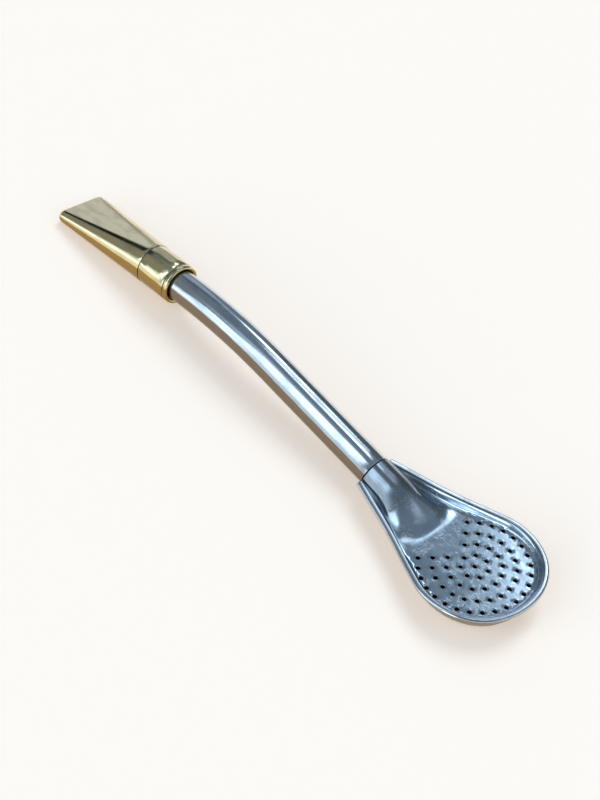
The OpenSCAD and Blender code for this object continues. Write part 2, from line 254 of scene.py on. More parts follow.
outline = [(lip_r - lip_r * math.sin(a), seat_r + lip_r - lip_r * math.cos(a)) for a in quarter(10)]
outline += [(lip_r - lip_r * math.cos(a), seat_r + lip_r + lip_r * math.sin(a)) for a in quarter(10)[1:]]
outline += [(groove_at - groove_lead, ferrule_r), (groove_at, ferrule_r - groove_brink)]
outline += [(groove_at + groove_w * (0.5 - 0.5 * math.cos(a)),
             ferrule_r - groove_brink - (groove_depth - groove_brink) * math.sin(a))
            for a in (math.pi * k / groove_rows for k in range(1, groove_rows))]
outline += [(groove_at + groove_w, ferrule_r - groove_brink), (groove_end, ferrule_r)]
outline += [(mix(groove_end, ferrule_len - edge_round, k / sleeve_rows), ferrule_r)
            for k in range(1, sleeve_rows)]
outline += [(ferrule_len - edge_round + edge_round * math.sin(a),
             ferrule_r - edge_round + edge_round * math.cos(a)) for a in quarter(4)]
outline += [(ferrule_len, seat_r)]
ferrule_at = upper_at + upper_run
skin = Skin()
skin.hoops([round_hoop(ferrule_at + along, radius, ferrule_sides) for along, radius in outline])
ferrule = skin.piece("ferrule_turned", "ferrule")

# %% [markdown]
# The mouthpiece starts as the ferrule's round and flattens evenly to a thin, wide bite end with
# a slot. Real ones are pressed from brass tube and polished, which leaves a long flat on the
# top and the bottom. Each hoop is a flat-sided round; the rows run up the outside, round the
# end's edge, and back down the slot to the socket that takes the tube. It could be a cylinder
# squeezed with a lattice, but hoops keep the flats flat and the end's slant exact.

# %% Mouthpiece
flat_start = 0.06
tip_wall, tip_edge, slot_edge = 0.8, 0.4, 0.15
mouth_at = upper_at + seam_at
arc_sides, flat_sides = 36, 10
body_rows, slot_rows = 24, 8


def flat_hoop(along, half_t, half_w):
    straight = max(half_w - half_t, 0)
    points = []
    for side in (1, -1):
        for k in range(arc_sides + 1):
            a = math.pi * (k / arc_sides - 0.5)
            points.append((side * half_t * math.sin(a), side * (half_t * math.cos(a) + straight)))
        for k in range(1, flat_sides):
            points.append((side * half_t, side * straight * (1 - 2 * k / flat_sides)))
    lean = along / mouth_len * math.tan(tip_slant)
    return [on_straw(mouth_at + along - lean * (tip_w / 2 + wide), high, wide) for high, wide in points]


def mouth_t(along):
    return mix(ferrule_r, tip_t / 2, along / mouth_len)


def mouth_w(along):
    return mix(ferrule_r + flat_start, tip_w / 2, along / mouth_len)


def slot_hoop(along):
    share = (along - socket_depth) / (mouth_len - socket_depth)
    return flat_hoop(along, mix(bore_r, tip_t / 2 - tip_wall, share),
                     mix(bore_r + flat_start, tip_w / 2 - tip_wall, share))


hoops = [flat_hoop(edge_round - edge_round * math.cos(a), mouth_t(0) - edge_round * (1 - math.sin(a)),
                   mouth_w(0) - edge_round * (1 - math.sin(a))) for a in quarter(4)]
hoops += [flat_hoop(along, mouth_t(along), mouth_w(along))
          for along in (mix(edge_round, mouth_len - tip_corner, k / body_rows) for k in range(1, body_rows))]
for a in quarter(10):
    along = mouth_len - tip_corner * (1 - math.sin(a))
    hoops.append(flat_hoop(along, mouth_t(along) - tip_edge * (1 - math.cos(a)),
                           mouth_w(along) - tip_corner * (1 - math.cos(a))))
hoops += [flat_hoop(mouth_len - slot_edge * (1 - math.cos(a)),
                    tip_t / 2 - tip_wall + slot_edge * (1 - math.sin(a)),
                    tip_w / 2 - tip_wall + slot_edge * (1 - math.sin(a))) for a in quarter(3)]
hidden = [slot_hoop(mix(mouth_len, socket_depth, k / slot_rows)) for k in range(1, slot_rows + 1)]
hidden += [flat_hoop(socket_depth, seat_r, seat_r), flat_hoop(0, seat_r, seat_r)]
skin = Skin()
made = skin.hoops(hoops + hidden)
skin.inside = skin.faces_among({c for row in made[len(hoops):] for c in row})
mouthpiece = skin.piece("mouthpiece_pressed", "mouthpiece")

# %% [markdown]
# The spoon is two pressed sheets: a back shell whose edge is folded over into a hem, and a
# perforated front plate held in that hem. Both follow one outline, with a narrow neck, slightly
# hollow flanks and a round end. A station is a place on that outline, and a section runs inwards
# from it to the spoon's middle line. Stations let both sheets share one outline, so they nest.

# %% Plan of the spoon
end_fullness, flank_hollow, ear_w = 0.25, 0.45, 1.65
ramp_foot = 12.6
neck_half_w = neck_r + ear_w
taper = math.atan2(neck_len, neck_half_w) - math.acos(spoon_r / math.hypot(neck_len, neck_half_w))
tangent_x = -spoon_r * math.sin(taper)
neck_rows, bowl_rows, end_rows = 48, 12, 48


class Station:
    def __init__(self, rim, inward, spine_x):
        self.rim, self.inward = rim, inward
        self.spine = Vector((spine_x, 0))
        self.reach = (self.spine - rim).length
        self.across = (self.spine - rim) / self.reach

    def plan(self, s):
        return self.rim + self.across * s

    def square(self, width):
        """Distance along the section for a width measured square to the rim."""
        return width / self.across.dot(self.inward)


def flank_station(x):
    hollow = flank_hollow * math.sin(math.pi * clamp((tangent_x - x) / (tangent_x + neck_len))) ** 2
    wide = (spoon_r + math.sin(taper) * x) / math.cos(taper) - hollow
    return Station(Vector((x, wide)), Vector((math.sin(taper), -math.cos(taper))), x)


def end_station(a):
    full = end_fullness * math.sin(2 * a) ** 2 if a < math.pi / 2 else 0
    way = Vector((math.cos(a), math.sin(a)))
    rim = way * (spoon_r + full)
    spine_x = mix(tangent_x, spoon_r / 2, (rim.x - tangent_x) / (spoon_r - tangent_x))
    return Station(rim, -way, spine_x)


stations = [flank_station(mix(-neck_len, -ramp_foot, k / neck_rows)) for k in range(neck_rows + 1)]
stations += [flank_station(mix(-ramp_foot, tangent_x, k / bowl_rows)) for k in range(1, bowl_rows + 1)]
stations += [end_station((math.pi / 2 + taper) * (1 - k / end_rows)) for k in range(1, end_rows + 1)]
round_trip = [(s, 1) for s in stations] + [(s, -1) for s in reversed(stations[:-1])]
print(f"{len(round_trip)} stations round the spoon, flanks at {math.degrees(taper):.1f} degrees")

# %% [markdown]
# Pressing gives the spoon its heights: a rim that rises towards the end, a field sunk below it,
# and a ramp from the field up to the tube. A height map could hold them, but functions of the
# place in the plan stay exact, and both sheets can ask them for the same point.

# %% Heights of the spoon
rim_h, rim_level, rim_turn = 6.9, 10.5, 6
rim_slope = math.tan(math.radians(5))
hem_w, hem_gap, shell_flange_w, back_round = 1.2, 0.05, 1, 6
field_depth, field_crown, fillet_w = 1.9, 0.15, 1.2
ramp_top, ramp_w, ramp_power, ramp_delay = 5.2, 15.6, 2.5, 1.25
pattern_back, ledge_show, square_len = 0.45, 0.05, 4
hem_h = 3 * sheet + 2 * hem_gap
hem_r = hem_h / 2
ledge_w = hem_w + ledge_show
pattern_at = Vector((-pattern_back, 0))


def past_level(x):
    return (x + rim_level + math.hypot(x + rim_level, rim_turn)) / 2


def rim_z(p):
    return rim_h + (past_level(p.x) - past_level(0)) * rim_slope


def flange_z(p):
    return rim_z(p) - sheet - hem_gap


def axis_z(p):
    return neck_h - (p.x + neck_len) * math.tan(tube_drop)


def field_z(p):
    crown = field_crown * min(1, (p - pattern_at).length / spoon_r) ** 2
    return rim_z(pattern_at) - field_depth + (p.x + pattern_back) * rim_slope - crown


def tray_z(p):
    return mix(field_z(p), flange_z(p), smooth((-ramp_foot - p.x) / (neck_len - ramp_foot)))


def crest_z(p):
    down = clamp((p.x + neck_len - ramp_top) / (neck_len - ramp_top - ramp_foot))
    return mix(axis_z(p) + neck_r, tray_z(p), smooth(down ** ramp_delay))


def keel_z(p):
    return max(0, axis_z(p) - neck_r)


def in_spoon(p, z, side):
    """A point of the spoon in the straw's frame, with the neck's edge cut square to the tube."""
    near_neck = 1 - smooth((p.x + neck_len) / square_len)
    lean = (z - axis_z(p)) * math.tan(tube_drop) * near_neck
    return Vector((spoon_x + p.x + lean, side * p.y, z))


print(f"field {field_depth} mm below the rim, hem {hem_h:.2f} mm high")

# %% [markdown]
# The back shell is drawn from one sheet, and its edge is folded back over the plate. A section
# starts at the folded lip, goes round the hem, along the flange under the plate, down the curved
# side and over the flat on which the spoon lies. The sheet's other face lies one thickness away,
# and the lip's cut edge is rounded, as a rolled edge is. A Solidify modifier would thicken the
# sheet too, but it leaves that edge square.

# %% Back shell
side_fade, side_share = 8, 0.92
lip_rows, lip_steps, flat_rows = 3, 4, 6
hem_step, side_step, lip_bulge = 12, 5, 0.6


def shell_outside(st):
    lip = [st.square(mix(hem_w, hem_r, k / lip_rows)) for k in range(lip_rows)]
    points = [(s, rim_z(st.plan(s))) for s in lip]
    for d in range(90, 271, hem_step):
        a = math.radians(d)
        s = st.square(hem_r + hem_r * math.cos(a))
        points.append((s, rim_z(st.plan(s)) - hem_r + hem_r * math.sin(a)))
    side_s = mix(st.reach - neck_r, st.square(shell_flange_w), smooth((st.rim.x + neck_len) / side_fade))
    side_w = min(back_round, side_share * (st.reach - side_s))
    for d in range(0, 91, side_step):
        a = math.radians(d)
        s = side_s + side_w * (1 - math.cos(a))
        p = st.plan(s)
        points.append((s, mix(rim_z(p) - hem_h, keel_z(p), math.sin(a))))
    flat_from = side_s + side_w
    for k in range(1, flat_rows + 1):
        s = mix(flat_from, st.reach, k / flat_rows)
        points.append((s, keel_z(st.plan(s))))
    return points


def beside(points, distance):
    """The other face of a sheet: the same section, moved along its own normals."""
    moved = []
    for k, (s, z) in enumerate(points):
        before, after = points[max(k - 1, 0)], points[min(k + 1, len(points) - 1)]
        ds, dz = after[0] - before[0], after[1] - before[1]
        if k == len(points) - 1:
            ds, dz = 1, 0
        long = math.hypot(ds, dz)
        moved.append((s + distance * dz / long, z - distance * ds / long))
    return moved


def lip_edge(outer, inner):
    """Points round a sheet's cut edge, from its inner face to its outer face."""
    (s0, z0), (s1, z1) = inner, outer
    middle = ((s0 + s1) / 2, (z0 + z1) / 2)
    half = math.hypot(s1 - s0, z1 - z0) / 2
    out = ((z1 - z0) / (2 * half), -(s1 - s0) / (2 * half))
    points = []
    for k in range(1, lip_steps):
        a = math.pi * k / lip_steps
        along, past = -math.cos(a), lip_bulge * half * math.sin(a)
        points.append((middle[0] + (s1 - middle[0]) * along + out[0] * past,
                       middle[1] + (z1 - middle[1]) * along + out[1] * past))
    return points


skin = Skin()
rows = []
for st, side in round_trip:
    outer = shell_outside(st)
    inner = beside(outer, -sheet)
    section = list(reversed(inner)) + lip_edge(outer[0], inner[0]) + outer
    rows.append(skin.row(in_spoon(st.plan(s), z, side) for s, z in section))
for one, two in zip(rows, rows[1:]):
    skin.join(one, two)
face_count = len(shell_outside(stations[0]))
for ends in (rows[0], rows[-1]):
    inner_row, outer_row = ends[:face_count][::-1], ends[-face_count:]
    skin.join(inner_row, outer_row)
    middle = ends[face_count:-face_count]
    skin.faces.append([inner_row[0]] + middle + [outer_row[0]])
skin.inside = skin.faces_among({c for row in rows for c in row[:face_count]})
back_shell = skin.piece("back_shell_pressed", "back_shell")

# %% [markdown]
# The strainer plate is pressed too: a flange that the hem holds, a fillet down to the sunken
# field, and a ramp that climbs to the tube. A press shapes all three at one stroke. Here the flange,
# the neck and the ramp are rows of corners across the spoon, since rows follow a pressed section
# exactly.

# %% Strainer plate: edge, neck and ramp
fillet_rows, fillet_turn, tray_rows, ramp_rows = 12, 9, 4, 24
least_strip, fillet_share, tray_share = 0.03, 0.6, 0.05
least_climb = 1e-6


def plate_sizes(st):
    ledge = st.square(ledge_w)
    room = st.reach - ledge - neck_r
    fillet = max(least_strip, min(st.square(fillet_w), fillet_share * room))
    tray = ledge + fillet + max(least_strip, tray_share * room)
    return ledge, fillet, max(tray, st.reach - ramp_w / 2)


def fillet_points(st, first, last):
    ledge, fillet, _ = plate_sizes(st)
    points = []
    for k in range(first, last + 1):
        t = k / fillet_rows
        s = ledge + fillet * t
        p = st.plan(s)
        points.append((s, mix(flange_z(p), tray_z(p), smooth(t))))
    return points


def plate_edge(st):
    """The flange in the hem, its ledge and the fillet, from the rim inwards."""
    ledge, held = plate_sizes(st)[0], st.square(hem_r)
    points = [(s, flange_z(st.plan(s))) for s in (held, mix(held, ledge, 0.5), ledge)]
    return points + fillet_points(st, 1, fillet_turn)


def plate_middle(st):
    """The tray beside the ramp and the ramp itself, as far as the middle line."""
    ledge, fillet, ramp = plate_sizes(st)
    points = fillet_points(st, fillet_turn + 1, fillet_rows)
    for k in range(1, tray_rows):
        s = mix(ledge + fillet, ramp, k / tray_rows)
        points.append((s, tray_z(st.plan(s))))
    half_w, high = st.reach - ramp, max(crest_z(st.spine) - tray_z(st.spine), least_climb)
    power = max(1, min(ramp_power, half_w ** 2 / (high * neck_r)))
    for k in range(ramp_rows + 1):
        a = math.pi / 2 * k / ramp_rows
        s = mix(st.reach, ramp, math.cos(a))
        p = st.plan(s)
        points.append((s, tray_z(p) + (crest_z(p) - tray_z(p)) * math.sin(a) ** power))
    return points


skin = Skin()
edge_rows, neck_field_rows = [], []
for st, side in round_trip:
    edge_rows.append(skin.row(in_spoon(st.plan(s), z, side) for s, z in plate_edge(st)))
for one, two in zip(edge_rows, edge_rows[1:]):
    skin.join(one, two)
for k in range(neck_rows + 1):
    st = stations[k]
    half = plate_middle(st)
    left = [in_spoon(st.plan(s), z, 1) for s, z in half]
    right = [in_spoon(st.plan(s), z, -1) for s, z in half[-2::-1]]
    middle = skin.row(left + right)
    neck_field_rows.append([edge_rows[k][-1]] + middle + [edge_rows[-1 - k][-1]])
for one, two in zip(neck_field_rows, neck_field_rows[1:]):
    skin.join(one, two)
print(f"{len(edge_rows)} rows of edge, {len(neck_field_rows)} across the neck")

# %% [markdown]
# The field has 62 punched holes in rings. A grid can't follow so many circles, and cutting them
# out with a modifier leaves ragged faces, so the field is cut into triangles round them: Blender's
# constrained triangulation keeps each circle whole. A triangular grid of loose points between the
# holes keeps the triangles even.


# %% Strainer plate: field
def bowl_z(p):
    """Height of the field, with the last of its fillet, at any place of the bowl."""
    wide = Vector((p.x, abs(p.y)))
    turn = math.atan2(wide.y, wide.x)
    if turn > math.pi / 2 + taper:
        st = flank_station(p.x)
        inside = (st.rim.y - wide.y) * math.cos(taper)
    else:
        inside = end_station(turn).rim.length - wide.length
    return mix(flange_z(p), field_z(p), smooth((inside - ledge_w) / fillet_w))


def hole_middles():
    tilt = math.cos(math.atan(rim_slope))
    for ring in range(len(ring_holes) + 1):
        holes = 1 if ring == 0 else ring_holes[ring - 1]
        places = max(1, ring * places_per_ring)
        first = holes / 2 if holes == places else (holes - 1) / 2
        for k in range(holes):
            a = math.tau / places * (k - first)
            yield pattern_at + ring * ring_pitch * Vector((math.cos(a) * tilt, math.sin(a)))


hole_r, hole_round, hole_flat = 0.6, 0.07, 0.02
hole_reach = hole_r + hole_round + hole_flat
ring_pitch, ring_holes, places_per_ring = 3.2, (7, 13, 18, 23), 7
hole_sides, grid, merge = 28, 0.62, 1e-6
bowl_edge = neck_field_rows[-1][::-1] + [row[-1] for row in edge_rows[neck_rows + 1:-1 - neck_rows]]
plan_points = [Vector((skin.corners[c][0] - spoon_x, skin.corners[c][1])) for c in bowl_edge]
plan_edges = [(k, (k + 1) % len(bowl_edge)) for k in range(len(bowl_edge))]
holes = list(hole_middles())
hole_turns = [math.tau * k / hole_sides for k in range(hole_sides)]
circle = [Vector((math.cos(a), math.sin(a))) for a in hole_turns]
hole_starts = []
for middle in holes:
    start = len(plan_points)
    hole_starts.append(start)
    plan_points += [middle + way * hole_reach for way in circle]
    plan_edges += [(start + k, start + (k + 1) % hole_sides) for k in range(hole_sides)]

field_reach = int(spoon_r / grid) + 1
outline_points = plan_points[:len(bowl_edge)]


def inside_bowl(p):
    inside = False
    for a, b in zip(outline_points, outline_points[1:] + outline_points[:1]):
        if (a.y > p.y) != (b.y > p.y) and p.x < a.x + (b.x - a.x) * (p.y - a.y) / (b.y - a.y):
            inside = not inside
    return inside


for row in range(-field_reach, field_reach + 1):
    for column in range(-field_reach, field_reach + 1):
        p = Vector(((column + 0.5 * (row % 2)) * grid, row * grid * math.sqrt(3) / 2))
        near_hole = min((p - middle).length for middle in holes) < hole_reach + grid / 2
        near_edge = min((p - q).length for q in outline_points) < grid / 2
        if not near_hole and not near_edge and inside_bowl(p):
            plan_points.append(p)

flat, _, triangles, origins, _, _ = delaunay_2d_cdt(plan_points, plan_edges, [], 1, merge)
field = []
for k, p in enumerate(flat):
    known = [o for o in origins[k] if o < len(bowl_edge)]
    field.append(bowl_edge[known[0]] if known else skin.row([in_spoon(p, bowl_z(p), 1)])[0])
from_plan = {o: field[k] for k, source in enumerate(origins) for o in source}
hole_of = {start + k: start for start in hole_starts for k in range(hole_sides)}
field_faces = []
for face in triangles:
    touched = {hole_of.get(origins[c][0]) if origins[c] else None for c in face}
    if len(touched) > 1 or None in touched:
        field_faces.append([field[c] for c in face])
skin.faces += field_faces
print(f"{len(holes)} holes in the field, {len(field_faces)} triangles round them")

# %% [markdown]
# A sheet has two faces. The lower one is the upper one moved down its own normals by the sheet's
# thickness, which a Solidify modifier would do too, but here each hole also gets the rolled-in edge
# and the wall that a punch leaves.

# %% Strainer plate: lower face and hole walls
roll_step = 18
top = bpy.data.meshes.new("plate_top")
top.from_pydata([Vector(c) for c in skin.corners], [], skin.faces)
check = bmesh.new()
check.from_mesh(top)
bmesh.ops.recalc_face_normals(check, faces=check.faces)
check.normal_update()
check.verts.ensure_lookup_table()
facing = 1 if check.verts[field[-1]].normal.z > 0 else -1
normals = [v.normal.copy() * facing for v in check.verts]
check.free()
bpy.data.meshes.remove(top)

top_faces, top_count = list(skin.faces), len(skin.corners)
skin.row(Vector(c) - normal * sheet for c, normal in zip(skin.corners[:top_count], normals))
skin.faces += [[c + top_count for c in reversed(face)] for face in top_faces]
for middle, start in zip(holes, hole_starts):
    rim = [from_plan[start + k] for k in range(hole_sides)]
    rings = [rim]
    for d in range(0, 91, roll_step):
        a = math.radians(d)
        rings.append(skin.row(
            in_spoon(middle + way * (hole_r + hole_round * (1 - math.sin(a))), 0, 1)
            + Vector((0, 0, bowl_z(middle + way * hole_r) - hole_round * (1 - math.cos(a))))
            for way in circle))
    for k, corner in enumerate(rim):
        p = middle + circle[k] * hole_r
        skin.corners[corner + top_count] = tuple(in_spoon(p, bowl_z(p) - sheet, 1))
    rings.append([c + top_count for c in rim])
    for one, two in zip(rings, rings[1:]):
        skin.join(one, two, closed=True)
    skin.cut += range(len(skin.faces) - hole_sides, len(skin.faces))
outer_edge = [row[0] for row in edge_rows]
neck_edge = edge_rows[0][:-1] + neck_field_rows[0] + edge_rows[-1][-2::-1]
for edge in (outer_edge, neck_edge):
    skin.join(edge, [c + top_count for c in edge])
skin.inside = list(range(len(top_faces), 2 * len(top_faces)))
front_strainer = skin.piece("front_strainer_pierced", "front_strainer")

# %% [markdown]
# Shader maths reads best as plain arithmetic. A Wire is one socket on a material's board. Adding,
# subtracting or multiplying wires adds the Math nodes behind the scenes, and one method adds any
# other node from its type, its settings and what is plugged into it. Nodes could be drawn by hand
# in the editor, but written as expressions they can be read, changed and used for every metal.


# %% Arithmetic on a node board
class Wire:
    def __init__(self, board, socket=None):
        self.board, self.socket = board, socket

    def node(self, kind, settings=None, plugs=None, output=0):
        made = self.board.nodes.new(kind)
        for name, value in (settings or {}).items():
            setattr(made, name, value)
        for name, value in (plugs or {}).items():
            if isinstance(value, Wire):
                value.feed(made.inputs[name])
            else:
                made.inputs[name].default_value = value
        return Wire(self.board, made.outputs[output])

    def feed(self, socket):
        self.board.links.new(self.socket, socket)

    def maths(self, operation, *terms):
        return self.node("ShaderNodeMath", {"operation": operation}, dict(enumerate(terms)))

    def __add__(self, other):
        return self.maths("ADD", self, other)

    def __radd__(self, other):
        return self.maths("ADD", other, self)

    def __sub__(self, other):
        return self.maths("SUBTRACT", self, other)

    def __mul__(self, other):
        return self.maths("MULTIPLY", self, other)

    def __rmul__(self, other):
        return self.maths("MULTIPLY", other, self)

    def step(self, low, high, start=0.0, end=1.0):
        """A soft step: start below low, end above high, and a smooth rise between them."""
        return self.node("ShaderNodeMapRange", {"interpolation_type": "SMOOTHSTEP"},
                         {0: self, 1: low, 2: high, 3: start, 4: end})

    def other(self, output):
        """Another output of the node that this wire comes from."""
        return Wire(self.board, self.socket.node.outputs[output])

    def times(self, by):
        """A vector wire, stretched by one number for each axis."""
        return self.node("ShaderNodeVectorMath", {"operation": "MULTIPLY"}, {0: self, 1: by})

    def mix(self, one, two):
        """This wire chooses between two colours."""
        return self.node("ShaderNodeMix", {"data_type": "RGBA"}, {0: self, 6: one, 7: two}, output=2)


def material_board(name):
    material = bpy.data.materials.new(name)
    material.use_nodes = True
    return material, Wire(material.node_tree), material.node_tree.nodes["Principled BSDF"]


print("board helpers ready")

# %% [markdown]
# Wear follows the way a piece was made: drawing marks run along a tube, and dirt sits where two
# pieces meet. So every corner stores its place on the straw as it was before the bend: how far
# along, how far to the side, and how far above the centre line. The finishes read that place.


# %% Places on the unbent straw
def unbent(p):
    from_neck = p - neck_at
    along, high = from_neck.dot(forward), from_neck.dot(above)
    past, out = along - lower_run, high + bend_radius
    turn = clamp(math.atan2(past, out) / bend_angle) * bend_angle
    if turn > 0:
        along = lower_run + bend_radius * turn + past * math.cos(turn) - out * math.sin(turn)
        high = past * math.sin(turn) + out * math.cos(turn) - bend_radius
    return along, p.y, high


pieces = (stem_tube, ferrule, mouthpiece, back_shell, front_strainer)
for made in pieces:
    corners = made.data.vertices
    stored = made.data.attributes.new("unbent", "FLOAT_VECTOR", "POINT")
    stored.data.foreach_set("vector", [n for v in corners for n in unbent(v.co / MM)])
    reach = [unbent(v.co / MM)[0] for v in corners]
    print(f"{made.name}: from {min(reach):.1f} to {max(reach):.1f} mm along the straw")

# %% [markdown]
# Polished metal takes nearly all its colour from what it mirrors. What tells that it has been
# used are small marks: cloudy smudges, hairline scratches and pits. The sides that face the table
# get a painted shade too, a brown that stands in for the shaded table they mirror. The ramp has
# also greyed where it is held for rinsing. Each mark is a number from 0 to 1 over the surface.


# %% Marks of use, and a painted shade
def clouds(place, by, detail=3.0):
    return place.node("ShaderNodeTexNoise", {}, {"Vector": place.times(by), "Scale": 1.0, "Detail": detail})


def hairlines(place, by, thin):
    """Thin lines, drawn where a stretched cloud passes its middle value."""
    return place.maths("ABSOLUTE", clouds(place, by) - 0.5).step(0.0, thin, 1.0, 0.0)


def pits(place, per_mm, size, share, core=0.6, blur=0.01):
    """Small round spots, in a share of the cells of a random pattern."""
    cells = place.node("ShaderNodeTexVoronoi", {}, {"Vector": place, "Scale": per_mm}, output="Distance")
    lot = place.node("ShaderNodeSeparateColor", {}, {0: cells.other("Color")})
    return cells.step(size * core, size, 1.0, 0.0) * lot.step(share, share + blur, 1.0, 0.0)


def painted_underside_shade(place, top, ragged=0.06, fade=0.07):
    """Painted shade: a brown on surfaces that look towards the table, in place of the shaded table that they
    mirror.
    """
    normal = place.node("ShaderNodeNewGeometry", output="Normal")
    up = place.node("ShaderNodeSeparateXYZ", {}, {0: normal}, output="Z")
    edge = up + ragged * (clouds(place, (0.3, 0.6, 0.6)) - 0.5)
    return edge.step(top - fade, top, 1.0, 0.0)


def dirt(place, joints, half=0.16, core=0.4):
    """Dark lines where two pieces meet, at these distances along the straw."""
    along = place.node("ShaderNodeSeparateXYZ", {}, {0: place}, output="X")
    lines = [place.maths("ABSOLUTE", along - at).step(half * core, half, 1.0, 0.0) for at in joints]
    total = lines[0]
    for line in lines[1:]:
        total = place.maths("MAXIMUM", total, line)
    return total


def scuffs_in(place):
    """Patches of fine scratches in two directions, where the spoon is scoured."""
    rubbed = hairlines(place, (0.35, 2.6, 0.5), 0.012) + hairlines(place, (2.4, 0.5, 0.5), 0.012)
    return rubbed * clouds(place, (0.22, 0.22, 0.22)).step(0.50, 0.60)


def greyed(place, full_at=-7, none_at=-15):
    """The cloudy grey of the ramp, which fades between these places along the straw."""
    along = place.node("ShaderNodeSeparateXYZ", {}, {0: place}, output="X")
    return along.step(none_at, full_at) * clouds(place, (0.15, 0.4, 0.4)).step(0.35, 0.6, 0.7, 1.0)


print("marks: clouds, hairlines, pits, film, dirt, scuffs, grey")

# %% [markdown]
# The four metals share one recipe, and differ in their colours and in how much of each mark they
# show. A mark changes the colour, makes the metal rougher, or dents it a little. The dents and the
# grain are far too small to model, so a Bump node tilts the surface for them.

# %% Worn metals
grime, scraped, tarnish = (0.02, 0.018, 0.015, 1), (0.86, 0.90, 0.94, 1), (0.25, 0.28, 0.31, 1)
dulling = 0.82
pit_depth, hair_depth, scuff_depth = 0.004, 0.0015, 0.003


def worn_metal(name, polish, painted_shade_colour, rough, joints, grain, wave, shade_below_z=0.47, scuffs=0.0, handled=0.0):
    """A used metal; grain and wave are heights in mm, and the last two are shares of a mark."""
    material, board, shader = material_board(name)
    place = board.node("ShaderNodeAttribute", {"attribute_name": "unbent"}, output="Vector")
    smudge = clouds(place, (0.16, 0.4, 0.4)).step(0.42, 0.70)
    hair = hairlines(place, (0.06, 2.4, 2.4), 0.03) * clouds(place, (0.3, 0.3, 0.3)).step(0.45, 0.65)
    spots = pits(place, 0.8, 0.12, 0.4)
    scuff = scuffs * scuffs_in(place)
    grey = handled * greyed(place)
    # painted shade: brown where the surface looks towards the table, in place of the shaded table it mirrors
    under = painted_underside_shade(place, shade_below_z)
    seam = dirt(place, joints)
    dull = [dulling * c for c in polish[:3]] + [1]
    clean = grey.mix(scuff.mix(smudge.mix(polish, dull), scraped), tarnish)
    colour = seam.mix(under.mix(clean, painted_shade_colour), grime)
    colour.feed(shader.inputs["Base Color"])
    marks = 0.08 * smudge + 0.10 * hair + 0.12 * under + 0.25 * scuff + 0.3 * seam + 0.10 * grey
    (rough + marks).feed(shader.inputs["Roughness"])
    height = (grain * clouds(place, (2.2, 2.2, 2.2)) + wave * clouds(place, (0.25, 0.5, 0.5), 1.0)
              - pit_depth * spots - hair_depth * hair - scuff_depth * scuff)
    bump = board.node("ShaderNodeBump", {}, {"Strength": 1.0, "Distance": MM, "Height": height})
    bump.feed(shader.inputs["Normal"])
    shader.inputs["Metallic"].default_value = 1.0
    return material


seams = (upper_at + seam_at, upper_at + upper_run + groove_at + groove_w / 2)
neck_seam = 0.02
# The brown second colour of each metal is painted shade for its sides that face the table.
tube_steel = worn_metal(
    "tube_steel", polish=(0.60, 0.66, 0.72, 1), painted_shade_colour=(0.23, 0.175, 0.12, 1), rough=0.10,
    joints=(neck_seam, upper_at + upper_run), grain=0.0042, wave=0.004, scuffs=0.3)
plate_steel = worn_metal(
    "plate_steel", polish=(0.52, 0.63, 0.72, 1), painted_shade_colour=(0.30, 0.26, 0.21, 1), rough=0.13,
    joints=(0.0,), grain=0.0024, wave=0.010, shade_below_z=-0.2, scuffs=1.0, handled=0.85)
shell_steel = worn_metal(
    "shell_steel", polish=(0.60, 0.66, 0.72, 1), painted_shade_colour=(0.30, 0.24, 0.18, 1), rough=0.14,
    joints=(0.0,), grain=0.0016, wave=0.006, shade_below_z=0.3)
brass = worn_metal(
    "brass", polish=(0.80, 0.69, 0.42, 1), painted_shade_colour=(0.36, 0.22, 0.055, 1), rough=0.11,
    joints=seams, grain=0.0014, wave=0.004, shade_below_z=0.35)
print("metals:", [m.name for m in (tube_steel, plate_steel, shell_steel, brass)])

# %% [markdown]
# Inside the straw nobody polishes. Tea leaves a nearly black brown on the inner faces of the
# spoon, in the bore and in the slot, and the solder in the joints is dull grey. The walls of the
# punched holes are torn, pale metal, which lightens the far side of each hole. One recipe makes
# all three, since they differ only in colour, roughness and how metallic they are.

# %% Stained insides and solder
blotches_per_m, blotch_rough = 400, 0.2


def dull_metal(name, light, deep, rough, metallic):
    material, board, shader = material_board(name)
    place = board.node("ShaderNodeTexCoord", output="Object")
    blotch = clouds(place, [blotches_per_m] * 3).step(0.35, 0.7)
    blotch.mix(light, deep).feed(shader.inputs["Base Color"])
    (rough + blotch_rough * blotch).feed(shader.inputs["Roughness"])
    shader.inputs["Metallic"].default_value = metallic
    return material


stain = dull_metal("tea_stain", (0.030, 0.024, 0.018, 1), (0.012, 0.010, 0.008, 1), 0.5, 0.3)
solder = dull_metal("dull_solder", (0.42, 0.41, 0.38, 1), (0.25, 0.24, 0.22, 1), 0.4, 1.0)
torn = dull_metal("punched_edge", (0.90, 0.91, 0.92, 1), (0.62, 0.62, 0.62, 1), 0.6, 0.3)
finish = {stem_tube: tube_steel, front_strainer: plate_steel, back_shell: shell_steel,
          mouthpiece: brass, ferrule: brass}
for made, metal in finish.items():
    made.data.materials.append(metal)
    made.data.materials.append(stain)
front_strainer.data.materials.append(torn)
for name in ("mouthpiece_solder", "ferrule_solder", "neck_solder"):
    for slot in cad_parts[name].material_slots:
        slot.material = solder
for made in finish:
    print(made.name, "stained faces:", sum(p.material_index == 1 for p in made.data.polygons))

# %% [markdown]
# The straw lies on a pale sheet. The sheet takes the soft shadow, and a little light of its own,
# seen by the camera and by the metal but not thrown on anything, lifts it to the white of a
# product photograph.

